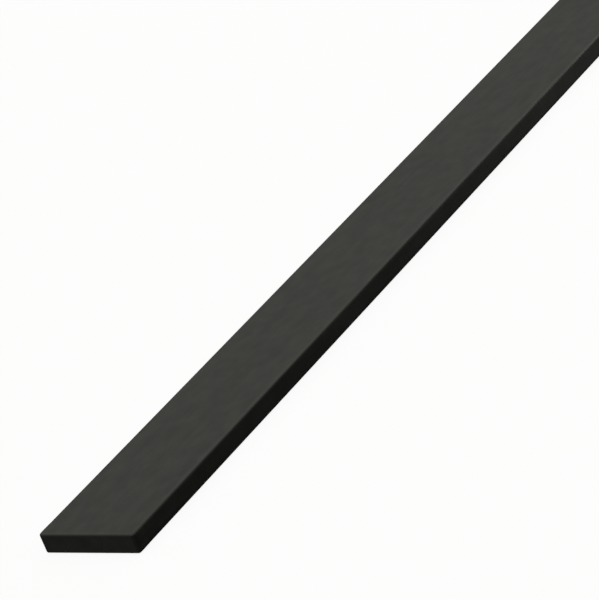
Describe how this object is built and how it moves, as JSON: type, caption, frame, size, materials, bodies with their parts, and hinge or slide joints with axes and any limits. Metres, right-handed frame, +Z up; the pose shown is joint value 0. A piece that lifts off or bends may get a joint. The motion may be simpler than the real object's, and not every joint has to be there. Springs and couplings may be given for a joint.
{
  "type": "carpenter pencil",
  "caption": "Flat carpenter pencil, unsharpened: a wide flat lead glued between two wood slats, lacquered black and sealed black over one end.",
  "frame": {"origin": "on the surface the pencil lies on, under the middle of its length and width", "axes": "+X along the pencil from the sealed end to the sawn end, +Y across its width, +Z up through its thickness"},
  "size_m": [0.178, 0.015, 0.0029],
  "materials": {
    "black_lacquer": "satin",
    "wood": "matte",
    "graphite_lead": "satin",
    "glue": "satin"
  },
  "bodies": {
    "root": {"upper_slat": "wood", "lower_slat": "wood", "lead_core": "graphite_lead", "lead_bond": "glue", "glue_seam_left": "glue", "glue_seam_right": "glue", "lacquer_coat": "black_lacquer", "end_seal": "black_lacquer"}
  },
  "joints": []
}
